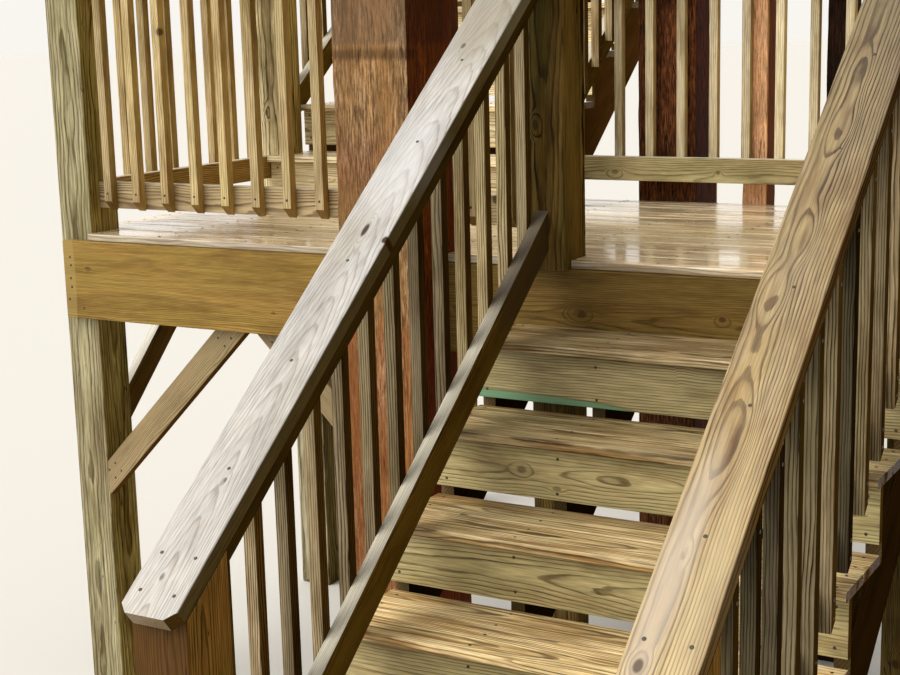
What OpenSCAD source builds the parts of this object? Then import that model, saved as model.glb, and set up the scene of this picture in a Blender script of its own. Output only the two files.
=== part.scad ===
// Wooden deck stairs: a lower flight, a railed landing and an upper flight, in pressure-treated pine.
// Site axes: X across the flights, Y up the run, Z up. The lower nosing line meets the deck at Y = 0, Z = 0.

/* [Steps] */
// Height from one tread to the next
rise = 190; // [182:1:200]
// Distance from one nosing to the next
going = 247; // [235:1:270]
// Overhang of a tread past the riser below it
nosing = 25; // [20:1:32]
// Treads in the lower flight
lower_steps = 8; // [6:1:9]
// Treads in the upper flight
upper_steps = 6; // [4:1:7]
// Height of the upper flight's first tread above the landing
first_rise = 171; // [168:1:190]
// Length of the lower flight's treads
lower_w = 1140; // [1000:10:1300]
// How much farther the lower flight's steps reach on the left than on the right
left_reach = 45; // [0:5:60]
// Length of the upper flight's treads
upper_w = 1188; // [1000:4:1200]

/* [Landing] */
// Distance from the lower flight's centre line to the left posts' centre
landing_left = 2335; // [2300:5:2500]
// Depth of the landing's deck
landing_depth = 1524; // [1510:2:1600]
// Distance from the upper flight's first nosing to the landing's back edge
foot_setback = 374; // [370:1:410]
// Joists between the two side rims
joist_count = 7; // [5:1:8]
// Lower reach of the long knee brace
long_brace = 639; // [500:1:700]
// Lower reach of the short knee braces
short_brace = 482; // [400:1:540]

/* [Lumber] */
// Thickness of the deck, tread and riser boards
board_t = 25; // [22:1:28]
// Width of a board
board_w = 140; // [130:1:142]
// Thickness of rims, stringers, rails and caps
lumber_t = 38; // [34:1:42]
// Side of the square posts and newels
post_w = 140; // [130:2:146]
// Depth of the rim boards
rim_d = 268; // [235:1:286]
// Depth of the joists
joist_d = 235; // [184:1:235]
// Depth of the stringer boards
stringer_d = 286; // [260:1:300]
// Distance of the inner stringers' centres from the treads' ends
stringer_inset = 354; // [330:1:420]
// Depth of the rails set on edge
rail_d = 89; // [80:1:95]

/* [Rails] */
// Height of the cap's top over the deck and over the nosing line
cap_top = 916; // [865:1:1000]
// Height of the sloped bottom rail's top over the lower nosing line
lower_rail_top = 144; // [140:1:170]
// Height of the sloped bottom rail's top over the upper nosing line
upper_rail_top = 70; // [60:1:150]
// Height of a level bottom rail's top over the deck
guard_rail_top = 170; // [150:1:180]
// Side of a baluster
baluster_w = 32; // [28:1:40]
// Spacing of the level guards' balusters
baluster_pitch = 123.5; // [115:0.5:128]
// Height of the landing posts' tops over the deck
post_top = 990; // [960:5:1040]

/* [Timbers] */
// Width of the big front timber
big_w = 254; // [230:2:270]
// Depth of the big front timber
big_d = 305; // [290:1:310]
// Distance of the big front timber's centre from the lower flight's centre line
big_x = 988; // [970:1:1000]
// Side of the big back timber
back_w = 229; // [200:1:254]
// Side of the slim back timbers
slim_w = 96; // [85:1:105]

/* [Hidden] */
slope = rise / going;
tilt = atan(slope);
plumb = sqrt(1 + slope * slope);
gap = 3;
side_gap = 6;
rail_inset = 50;
newel_inset = 42;
cap_over = 42;
cap_clip = 22;
baluster_drop = 35;
baluster_foot = 35;
baluster_start = 115;
left_start = 60;
left_pitch = 120;
first_gap = 49;
back_start = 8;
deck_lip = 6;
rim_reveal = 15;
bevel_drop = 4;
least_rip = 20;
tread_tuck = 36;
big_front = -150;
back_x = -755.5;
slim_x = [-414, -112];

rail_x = lower_w / 2 - rail_inset;
lower_x0 = -lower_w / 2 - left_reach;
lower_x1 = lower_w / 2;
cap_under = cap_top - lumber_t * plumb;
guard_under = cap_top - lumber_t;
baluster_out = lumber_t / 2 + baluster_w;
deck_out = baluster_out + deck_lip;
deck_x0 = -landing_left - deck_out;
deck_x1 = rail_x + deck_out;
rim_back = nosing + lumber_t;
deck_front = nosing + rim_reveal;
front_line = rim_back + post_w / 2;
back_line = landing_depth - deck_out;
ground = -(lower_steps + 1) * rise;
rim_bottom = -board_t - rim_d;
post_half = post_w / 2;
left_in = -landing_left + post_half;
big_x0 = -big_x - big_w / 2;
big_x1 = -big_x + big_w / 2;

upper_x0 = -landing_left + lumber_t / 2 + side_gap;
upper_x1 = upper_x0 + upper_w;
upper_cx = (upper_x0 + upper_x1) / 2;
upper_right = upper_x1 + newel_inset;
upper_y = landing_depth - foot_setback + upper_steps * going;
upper_z = first_rise + upper_steps * rise;
lower_newel = -(lower_steps - 1) * going;
upper_newel = -upper_steps * going + nosing + board_t;

x_min = -landing_left - post_half;
x_max = rail_x + post_half;
y_min = -lower_steps * going;
y_max = upper_y + post_w;

// Moves site axes to the middle of the whole, with the ground at Z = 0
module place() {
    translate([-(x_min + x_max) / 2, -(y_min + y_max) / 2, -ground])
        children();
}

// Moves to the upper flight, whose last nosing is its own zero
module upper() {
    translate([0, upper_y, upper_z])
        children();
}

module block(x0, x1, y0, y1, z0, z1) {
    translate([x0, y0, z0])
        cube([x1 - x0, y1 - y0, z1 - z0]);
}

// A profile in Y and Z, drawn out along X from x0
module across(x0, w) {
    translate([x0, 0, 0])
        rotate([90, 0, 90])
            linear_extrude(w)
                children();
}

// Two boards to a tread, the rear one tucked under the riser behind
module treads(n, x0, x1) {
    for (i = [1 : n]) {
        y = -i * going;
        rear = i == 1 ? nosing : y + going + tread_tuck;
        block(x0, x1, y, y + board_w, -i * rise - board_t, -i * rise);
        block(x0, x1, y + board_w + gap, rear, -i * rise - board_t, -i * rise);
    }
}

module risers(n, x0, x1) {
    for (i = [1 : n]) {
        y = -i * going + nosing;
        z = -i * rise - board_t;
        block(x0, x1, y, y + board_t, z - board_w, z);
    }
}

// A notched stringer whose foot stands level at z = foot
module stringer(n, foot, x0) {
    face = nosing + board_t;
    low = board_t + face * slope + stringer_d * plumb;
    steps = [for (i = [n : -1 : 1], k = [0, 1])
        [i == 1 && k == 1 ? nosing : (k - i) * going + face, -i * rise - board_t]];
    across(x0, lumber_t)
        polygon(concat(
            [[(foot + low) / slope, foot], [-n * going + face, foot]],
            steps,
            [[nosing, nosing * slope - low]]));
}

module stringers(n, foot, x0, x1) {
    inner = stringer_inset - lumber_t / 2;
    for (x = [x0, x0 + inner, x1 - lumber_t - inner, x1 - lumber_t])
        stringer(n, foot, x);
}

// A newel cut under the sloped cap
module foot_newel(x, y, foot) {
    across(x - post_half, post_w)
        polygon([
            [y, foot],
            [y + post_w, foot],
            [y + post_w, (y + post_w) * slope + cap_under],
            [y, y * slope + cap_under]]);
}

module post(x, y, z0, z1) {
    block(x - post_half, x + post_half, y, y + post_w, z0, z1);
}

// A rail on edge along the slope, plumb at both ends
module sloped_rail(x, y0, y1, top) {
    z = top - rail_d * plumb;
    across(x - lumber_t / 2, lumber_t)
        polygon([
            [y0, y0 * slope + z],
            [y1, y1 * slope + z],
            [y1, y1 * slope + top],
            [y0, y0 * slope + top]]);
}

// The flat cap, with its two low corners clipped and its high end plumb
module sloped_cap(x, y0) {
    low = y0 / cos(tilt);
    difference() {
        translate([x, 0, cap_top])
            rotate([tilt, 0, 0])
                translate([0, 0, -lumber_t])
                    linear_extrude(lumber_t)
                        polygon([
                            [-post_half, low + cap_clip],
                            [-post_half + cap_clip, low],
                            [post_half - cap_clip, low],
                            [post_half, low + cap_clip],
                            [post_half, post_w],
                            [-post_half, post_w]]);
        block(x - post_w, x + post_w, 0, 3 * post_w, 0, 2 * cap_top);
    }
}

// Balusters on the outer face of a sloped rail, side is -1 or 1
module sloped_balusters(x, side, back, start = baluster_start, pitch = going / 2) {
    count = floor((-back - start) / pitch) + 1;
    x0 = side > 0 ? x + lumber_t / 2 : x - baluster_out;
    for (k = [0 : count - 1]) {
        y = -start - k * pitch;
        e = y + baluster_w;
        across(x0, baluster_w)
            polygon([
                [y, y * slope + baluster_foot],
                [e, e * slope + baluster_foot],
                [e, e * slope + cap_under - baluster_drop],
                [y, y * slope + cap_under - baluster_drop]]);
    }
}

// A level baluster bevelled at both ends, its outer face towards -Y
module guard_baluster() {
    low = guard_rail_top - rail_d;
    high = guard_under - baluster_drop;
    across(0, baluster_w)
        polygon([
            [0, low + baluster_w - bevel_drop],
            [baluster_w, low - bevel_drop],
            [baluster_w, high],
            [0, high - baluster_w]]);
}

// A row of level balusters along +X from the zero, over a clear length
module guard_row(length, start) {
    count = floor((length - start - baluster_w - gap) / baluster_pitch) + 1;
    for (k = [0 : count - 1])
        translate([start + k * baluster_pitch, 0, 0])
            guard_baluster();
}

// A knee brace in X and Z from a post's face at zero up to a rim's underside
module knee(reach) {
    v = rail_d * sqrt(2);
    translate([0, lumber_t, 0])
        rotate([90, 0, 0])
            linear_extrude(lumber_t)
                polygon([
                    [0, -reach],
                    [reach, 0],
                    [reach - v, 0],
                    [0, v - reach]]);
}

// The square posts of the lower flight, as cutters and as solids
module lower_feet() {
    for (s = [-1, 1])
        foot_newel(s * rail_x, lower_newel, ground);
}

// What the foot newels take from the steps, out to the flight's left side
module lower_feet_room() {
    lower_feet();
    block(lower_x0 - gap, -rail_x, lower_newel, lower_newel + post_w, ground, 0);
}

// The head newels, notched over the rim that runs on in front of them
module lower_heads() {
    for (s = [-1, 1])
        across(s * rail_x - post_half, post_w)
            polygon([
                [rim_back, ground],
                [post_w, ground],
                [post_w, post_top],
                [0, post_top],
                [0, -board_t],
                [rim_back, -board_t]]);
}

module upper_feet() {
    for (x = [-landing_left, upper_right])
        foot_newel(x, upper_newel, -upper_z);
}

module upper_heads() {
    for (x = [-landing_left, upper_right])
        post(x, 0, ground - upper_z, post_top);
}

module big_front_timber() {
    block(big_x0, big_x1, big_front, big_front + big_d, ground, upper_z);
}

module back_timbers() {
    block(back_x - back_w / 2, back_x + back_w / 2, landing_depth, landing_depth + back_w,
        ground, upper_z);
    for (x = slim_x)
        block(x - slim_w / 2, x + slim_w / 2, landing_depth, landing_depth + slim_w,
            ground, upper_z);
}

module left_front() {
    post(-landing_left, front_line - post_half, ground, post_top);
}

module back_right() {
    post(rail_x, back_line - post_half, ground, post_top);
}

// Lower flight
module lower_treads() {
    color([0.72, 0.56, 0.33]) place() difference() {
        treads(lower_steps, lower_x0, lower_x1);
        lower_feet_room();
    }
}

module lower_risers() {
    color([0.63, 0.53, 0.32]) place() difference() {
        risers(lower_steps, lower_x0, lower_x1);
        lower_feet_room();
    }
}

module lower_stringers() {
    color([0.45, 0.34, 0.2]) place()
        stringers(lower_steps, ground, lower_x0, lower_x1);
}

module lower_foot_newels() {
    color([0.6, 0.5, 0.3]) place() difference() {
        lower_feet();
        stringers(lower_steps, ground, lower_x0, lower_x1);
    }
}

module lower_head_newels() {
    color([0.58, 0.48, 0.28]) place()
        lower_heads();
}

module lower_left_cap() {
    color([0.8, 0.72, 0.58]) place()
        sloped_cap(-rail_x, lower_newel - cap_over);
}

module lower_right_cap() {
    color([0.76, 0.58, 0.36]) place()
        sloped_cap(rail_x, lower_newel - cap_over);
}

module lower_sub_rails() {
    color([0.62, 0.5, 0.3]) place()
        for (s = [-1, 1])
            sloped_rail(s * rail_x, lower_newel + post_w, 0, cap_under);
}

module lower_bottom_rails() {
    color([0.66, 0.54, 0.34]) place()
        for (s = [-1, 1])
            sloped_rail(s * rail_x, lower_newel + post_w, 0, lower_rail_top);
}

module lower_left_balusters() {
    color([0.7, 0.6, 0.38]) place()
        sloped_balusters(-rail_x, -1, lower_newel + post_w, left_start, left_pitch);
}

module lower_right_balusters() {
    color([0.66, 0.54, 0.34]) place()
        sloped_balusters(rail_x, 1, lower_newel + post_w);
}

// Landing
module deck_boards() {
    pitch = board_w + gap;
    count = ceil((landing_depth - deck_front - least_rip) / pitch);
    color([0.7, 0.56, 0.36]) place() difference() {
        for (i = [0 : count - 1]) {
            y = deck_front + i * pitch;
            block(deck_x0, deck_x1, y, min(y + board_w, landing_depth), -board_t, 0);
        }
        block(deck_x0, left_in, 0, front_line + post_half, -board_t, 0);
        lower_heads();
        back_right();
        big_front_timber();
    }
}

module front_rim() {
    color([0.68, 0.5, 0.24]) place() difference() {
        block(deck_x0 + nosing, deck_x1 - nosing, nosing, rim_back, rim_bottom, -board_t);
        big_front_timber();
    }
}

module back_rim() {
    y = landing_depth - nosing;
    color([0.6, 0.46, 0.25]) place()
        block(left_in, rail_x - post_half, y - lumber_t, y, rim_bottom, -board_t);
}

module left_rim() {
    color([0.6, 0.46, 0.25]) place()
        block(deck_x0 + nosing, deck_x0 + nosing + lumber_t, front_line + post_half,
            back_line - post_half, rim_bottom, -board_t);
}

module right_rim() {
    color([0.6, 0.46, 0.25]) place()
        block(deck_x1 - nosing - lumber_t, deck_x1 - nosing, post_w, back_line - post_half,
            rim_bottom, -board_t);
}

module joists() {
    x0 = deck_x0 + nosing + lumber_t;
    x1 = deck_x1 - nosing - lumber_t;
    color([0.55, 0.43, 0.25]) place() difference() {
        for (i = [1 : joist_count]) {
            x = x0 + (x1 - x0) * i / (joist_count + 1) - lumber_t / 2;
            block(x, x + lumber_t, rim_back, landing_depth - nosing - lumber_t,
                -board_t - joist_d, -board_t);
        }
        lower_heads();
        big_front_timber();
    }
}

module left_front_post() {
    color([0.56, 0.47, 0.28]) place()
        left_front();
}

module back_left_post() {
    color([0.55, 0.48, 0.28]) place()
        post(-landing_left, back_line - post_half, ground, -board_t);
}

module back_right_post() {
    color([0.56, 0.47, 0.28]) place()
        back_right();
}

module front_braces() {
    y = front_line - post_half;
    color([0.6, 0.5, 0.3]) place() {
        translate([left_in, y, rim_bottom])
            knee(long_brace);
        translate([big_x0, y, rim_bottom])
            mirror([1, 0, 0])
                knee(short_brace);
    }
}

module side_braces() {
    far = back_line - post_half;
    left_x = deck_x0 + nosing;
    right_x = deck_x1 - nosing - lumber_t;
    color([0.58, 0.48, 0.3]) place()
        for (p = [[left_x, front_line + post_half, 1], [left_x, far, -1],
                [right_x, post_w, 1], [right_x, far, -1]])
            translate([p[0] + (p[2] > 0 ? lumber_t : 0), p[1], rim_bottom])
                rotate([0, 0, 90 * p[2]])
                    knee(short_brace);
}

module big_front_post() {
    color([0.5, 0.29, 0.14]) place()
        big_front_timber();
}

module back_posts() {
    color([0.38, 0.2, 0.11]) place()
        back_timbers();
}

// Guards round the landing
module guard_bottom_rails() {
    z = guard_rail_top;
    half = lumber_t / 2;
    color([0.68, 0.58, 0.37]) place() {
        block(left_in, big_x0, front_line - half, front_line + half, z - rail_d, z);
        block(big_x1, -rail_x - post_half, front_line - half, front_line + half, z - rail_d, z);
        block(-landing_left - half, -landing_left + half, front_line + post_half,
            upper_y + upper_newel, z - rail_d, z);
        block(rail_x - half, rail_x + half, post_w, back_line - post_half, z - rail_d, z);
        block(upper_x1, rail_x - post_half, back_line - half, back_line + half, z - rail_d, z);
    }
}

module guard_sub_rails() {
    z = guard_under;
    half = lumber_t / 2;
    back_x0 = upper_right + baluster_out;
    color([0.6, 0.5, 0.32]) place() {
        block(left_in, big_x0, front_line - half, front_line + half, z - rail_d, z);
        block(big_x1, -rail_x - post_half, front_line - half, front_line + half, z - rail_d, z);
        block(-landing_left - half, -landing_left + half, front_line + post_half,
            upper_y + upper_newel, z - rail_d, z);
        block(rail_x - half, rail_x + half, post_w, back_line - post_half, z - rail_d, z);
        block(back_x0, rail_x - post_half, back_line - half, back_line + half, z - rail_d, z);
    }
}

module guard_caps() {
    z0 = guard_under;
    color([0.74, 0.6, 0.4]) place() difference() {
        union() {
            block(left_in, -rail_x - post_half, front_line - post_half, front_line + post_half,
                z0, cap_top);
            block(x_min, left_in, front_line + post_half, upper_y + upper_newel, z0, cap_top);
            block(rail_x - post_half, x_max, post_w, back_line - post_half, z0, cap_top);
            block(upper_right + baluster_out, rail_x - post_half, back_line - post_half,
                back_line + post_half, z0, cap_top);
        }
        lower_heads();
        big_front_timber();
        back_timbers();
    }
}

module front_guard_balusters() {
    y = front_line - baluster_out;
    color([0.74, 0.62, 0.42]) place() {
        translate([left_in, y, 0])
            guard_row(big_x0 - left_in, first_gap);
        translate([big_x1, y, 0])
            guard_row(-rail_x - post_half - big_x1, first_gap);
    }
}

module left_guard_balusters() {
    start = front_line + post_half;
    color([0.7, 0.6, 0.38]) place()
        translate([-landing_left - baluster_out, upper_y + upper_newel, 0])
            rotate([0, 0, -90])
                guard_row(upper_y + upper_newel - start, first_gap);
}

module right_guard_balusters() {
    color([0.7, 0.58, 0.38]) place()
        translate([rail_x + baluster_out, post_w, 0])
            rotate([0, 0, 90])
                guard_row(back_line - post_half - post_w, first_gap);
}

module back_guard_balusters() {
    color([0.7, 0.58, 0.36]) place()
        translate([rail_x - post_half, back_line + baluster_out, 0])
            rotate([0, 0, 180])
                guard_row(rail_x - post_half - upper_right - baluster_out, back_start);
}

// Upper flight
module upper_treads() {
    color([0.7, 0.56, 0.34]) place() upper() difference() {
        treads(upper_steps, upper_x0, upper_x1);
        upper_feet();
        upper_heads();
    }
}

module upper_risers() {
    color([0.63, 0.53, 0.32]) place() upper() difference() {
        risers(upper_steps, upper_x0, upper_x1);
        upper_feet();
        upper_heads();
    }
}

module upper_stringers() {
    color([0.45, 0.34, 0.2]) place() upper() difference() {
        stringers(upper_steps, -upper_z, upper_x0, upper_x1);
        upper_heads();
    }
}

module upper_foot_newels() {
    color([0.6, 0.54, 0.32]) place() upper() difference() {
        upper_feet();
        stringers(upper_steps, -upper_z, upper_x0, upper_x1);
    }
}

module upper_head_posts() {
    color([0.58, 0.48, 0.28]) place() upper()
        upper_heads();
}

module upper_beams() {
    color([0.6, 0.46, 0.25]) place() upper()
        for (y = [nosing, post_w - lumber_t])
            block(left_in, upper_right - post_half, y, y + lumber_t, rim_bottom, -board_t);
}

module upper_edge_board() {
    color([0.7, 0.56, 0.36]) place() upper()
        block(left_in, upper_right - post_half, 0, post_w, -board_t, 0);
}

module upper_caps() {
    color([0.76, 0.62, 0.42]) place() upper()
        for (x = [-landing_left, upper_right])
            sloped_cap(x, upper_newel - cap_over);
}

module upper_sub_rails() {
    color([0.62, 0.5, 0.3]) place() upper()
        for (x = [-landing_left, upper_right])
            sloped_rail(x, upper_newel + post_w, 0, cap_under);
}

module upper_bottom_rails() {
    color([0.74, 0.64, 0.46]) place() upper()
        for (x = [-landing_left, upper_right])
            sloped_rail(x, upper_newel + post_w, 0, upper_rail_top);
}

module upper_left_balusters() {
    color([0.7, 0.6, 0.38]) place() upper()
        sloped_balusters(-landing_left, -1, upper_newel + post_w);
}

module upper_right_balusters() {
    color([0.7, 0.6, 0.38]) place() upper()
        sloped_balusters(upper_right, 1, upper_newel + post_w);
}

lower_treads();
lower_risers();
lower_stringers();
lower_foot_newels();
lower_head_newels();
lower_left_cap();
lower_right_cap();
lower_sub_rails();
lower_bottom_rails();
lower_left_balusters();
lower_right_balusters();
deck_boards();
front_rim();
back_rim();
left_rim();
right_rim();
joists();
left_front_post();
back_left_post();
back_right_post();
front_braces();
side_braces();
big_front_post();
back_posts();
guard_bottom_rails();
guard_sub_rails();
guard_caps();
front_guard_balusters();
left_guard_balusters();
right_guard_balusters();
back_guard_balusters();
upper_treads();
upper_risers();
upper_stringers();
upper_foot_newels();
upper_head_posts();
upper_beams();
upper_edge_board();
upper_caps();
upper_sub_rails();
upper_bottom_rails();
upper_left_balusters();
upper_right_balusters();
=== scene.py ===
"""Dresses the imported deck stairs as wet, weathered, pressure-treated pine round a few rough-sawn timbers.

Each board, post and baluster is cut anew from its CAD solid with eased arrises, a slight crook and its own
place in a log, so one solid wood pattern gives arches on flat faces, lines on edges and rings on cut ends.
"""

import logging
import math
import random
from collections.abc import Callable, Mapping, Sequence
from dataclasses import dataclass, field, replace
from enum import Enum
from functools import cached_property

import bmesh
import bpy
from bpy.types import Node, NodeSocket
from mathutils import Matrix, Vector, noise


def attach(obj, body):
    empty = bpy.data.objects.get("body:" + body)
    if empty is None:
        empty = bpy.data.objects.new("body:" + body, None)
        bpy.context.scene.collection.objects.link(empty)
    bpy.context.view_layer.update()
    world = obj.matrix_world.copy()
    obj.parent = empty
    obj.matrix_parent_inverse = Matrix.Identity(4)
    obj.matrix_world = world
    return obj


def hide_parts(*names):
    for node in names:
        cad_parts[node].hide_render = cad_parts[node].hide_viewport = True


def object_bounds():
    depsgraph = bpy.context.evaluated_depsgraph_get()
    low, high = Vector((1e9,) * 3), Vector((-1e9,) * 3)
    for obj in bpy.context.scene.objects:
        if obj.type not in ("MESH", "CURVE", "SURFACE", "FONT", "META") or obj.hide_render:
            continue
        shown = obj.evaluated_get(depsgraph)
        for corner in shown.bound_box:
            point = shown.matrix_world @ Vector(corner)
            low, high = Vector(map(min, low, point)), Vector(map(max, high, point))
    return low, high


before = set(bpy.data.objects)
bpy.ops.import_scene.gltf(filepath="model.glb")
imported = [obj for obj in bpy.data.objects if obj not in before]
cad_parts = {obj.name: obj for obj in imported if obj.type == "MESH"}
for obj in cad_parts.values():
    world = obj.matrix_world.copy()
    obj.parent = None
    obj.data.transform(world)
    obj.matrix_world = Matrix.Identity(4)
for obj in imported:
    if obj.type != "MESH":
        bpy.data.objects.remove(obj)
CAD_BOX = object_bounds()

LOG = logging.getLogger("deck_stairs")
MM = 0.001
X, Y, Z = Vector((1, 0, 0)), Vector((0, 1, 0)), Vector((0, 0, 1))
Source = Node | NodeSocket


def linear(colour: str) -> tuple[float, float, float, float]:
    """Turns an sRGB hex colour into the linear values that Blender's sockets take.

    Args:
        colour: six hex digits after a hash.

    Returns:
        Red, green, blue and an alpha of one.
    """
    channels = [int(colour[i:i + 2], 16) / 255 for i in (1, 3, 5)]
    red, green, blue = [c / 12.92 if c <= 0.04045 else ((c + 0.055) / 1.055) ** 2.4 for c in channels]
    return red, green, blue, 1.0


def linked(name: str, data: bpy.types.ID) -> bpy.types.Object:
    """Makes an object of this data and links it to the scene."""
    made = bpy.data.objects.new(name, data)
    bpy.context.scene.collection.objects.link(made)
    return made


class Sawing(Enum):
    """How a piece was cut from its log, with the most that its pith drifts across and through it."""

    FLAT = (0.006, 0.02)
    RIFT = (0.004, 0.006)
    HEART = (0.008, 0.008)


@dataclass(frozen=True)
class Cut:
    """Where a piece's pith lies from its middle, and how it drifts along the piece.

    The offsets are in metres, and each drift is metres sideways for a metre along.
    """

    wide: float
    thin: float
    wide_drift: float
    thin_drift: float
    start: float

    @classmethod
    def drawn(cls, sawing: Sawing, size: Vector, draw: random.Random) -> "Cut":
        """Draws a cut of one kind of sawing for a piece of this size.

        Args:
            sawing: how the piece was cut from its log.
            size: its length, width and thickness.
            draw: the seeded generator.

        Returns:
            The cut.
        """
        start = draw.uniform(2, 60)
        side = draw.choice((-1, 1))
        if sawing is Sawing.FLAT:
            wide = draw.uniform(-0.35, 0.35) * size.y
            thin = side * (size.z / 2 + draw.uniform(0.012, 0.055))
        elif sawing is Sawing.RIFT:
            turn, reach = draw.uniform(0.5, 1.1), draw.uniform(0.06, 0.13)
            wide, thin = side * reach * math.cos(turn), reach * math.sin(turn)
        else:
            wide, thin = [draw.uniform(-0.2, 0.2) * across for across in (size.y, size.z)]
        return cls(wide, thin, *(draw.uniform(-most, most) for most in sawing.value), start)


@dataclass(frozen=True)
class Knot:
    """A branch sawn through, or the long lens that the rings draw where one lies just under the face.

    Its place is measured from the board's middle, along it and across it, in millimetres.
    """

    along: float
    across: float
    long: float
    broad: float
    swell: float
    dark: float


@dataclass(frozen=True)
class Stain:
    """A long oval of another colour on one board, placed and measured as a knot is."""

    along: float
    across: float
    long: float
    broad: float
    colour: str
    share: float
    core: float


class Recipe:
    """The node tree of a finish or of the sky while it is written."""

    MODES = {"Math": "operation", "VectorMath": "operation", "Mix": "blend_type",
        "MapRange": "interpolation_type"}

    def __init__(self, tree: bpy.types.NodeTree) -> None:
        """Empties the tree."""
        self.tree = tree
        tree.nodes.clear()

    def add(self, kind: str, inputs: Sequence | Mapping = (), mode: str = "", **settings: object) -> Node:
        """Adds a node with its settings and links.

        Args:
            kind: the node's type, which follows ShaderNode in its full name.
            inputs: what goes to the sockets in use, in their order or by name. A colour is sRGB hex, and
                a node stands for its first output in use.
            mode: what the node does, for the kinds in MODES.
            **settings: the node's own properties.

        Returns:
            The new node.
        """
        node = self.tree.nodes.new("ShaderNode" + kind)
        if kind == "Mix":
            node.data_type = "RGBA"
        if mode:
            settings[self.MODES[kind]] = mode
        for name, value in settings.items():
            setattr(node, name, value)
        if isinstance(inputs, Mapping):
            pairs = [(node.inputs[name], value) for name, value in inputs.items()]
        else:
            pairs = list(zip([socket for socket in node.inputs if socket.enabled], inputs))
        for socket, value in pairs:
            if isinstance(value, Node):
                value = next(output for output in value.outputs if output.enabled)
            if isinstance(value, NodeSocket):
                self.tree.links.new(value, socket)
            else:
                socket.default_value = linear(value) if isinstance(value, str) else value
        return node

    @cached_property
    def grain(self) -> NodeSocket:
        """The place in the log."""
        return self.add("Attribute", attribute_name="grain").outputs["Vector"]

    @cached_property
    def tone(self) -> NodeSocket:
        """How light the board is."""
        return self.add("Attribute", attribute_name="tone").outputs["Fac"]

    @cached_property
    def board(self) -> bpy.types.bpy_prop_collection:
        """The board's tint, in the second place, and one on its cut ends, in the third."""
        mark = self.add("Attribute", attribute_name="board").outputs["Vector"]
        return self.add("SeparateXYZ", (mark,)).outputs

    @cached_property
    def shelter_and_shade(self) -> Node:
        """Nought on a face turned to the open left and front, and one on a face turned away: the mask of a
        darker colour that is partly weathering and partly painted shade.
        """
        facing = self.add("NewGeometry").outputs["Normal"]
        open_side = self.add("VectorMath", (facing, (-0.6, -0.45, 0.66)), "DOT_PRODUCT")
        return self.add("MapRange", (open_side, 0.25, -0.4))


@dataclass(frozen=True)
class Plank:
    """A piece's place in its log, knots, stains and tone, which changes by fall for each metre along it."""

    cut: Cut
    knots: tuple[Knot, ...] = ()
    tone: float = 0.5
    tint: float = 0.5
    fall: float = 0.0
    stains: tuple[Stain, ...] = ()

    def reach(self, recipe: Recipe, mark: Knot | Stain) -> tuple[Node, Node]:
        """Measures how far each point lies from a knot or stain.

        Args:
            recipe: the finish's recipe.
            mark: the knot or stain.

        Returns:
            The way from its middle, and the distance with one at its rim.
        """
        along, cut = mark.along * MM, self.cut
        spot = (along + cut.start, mark.across * MM - cut.wide + cut.wide_drift * along, 0.0)
        away = recipe.add("VectorMath", (recipe.grain, spot), "SUBTRACT")
        rims = (1 / (mark.long * MM), 1 / (mark.broad * MM), 0)
        scaled = recipe.add("VectorMath", (away, rims), "MULTIPLY")
        return away, recipe.add("VectorMath", (scaled,), "LENGTH")


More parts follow.
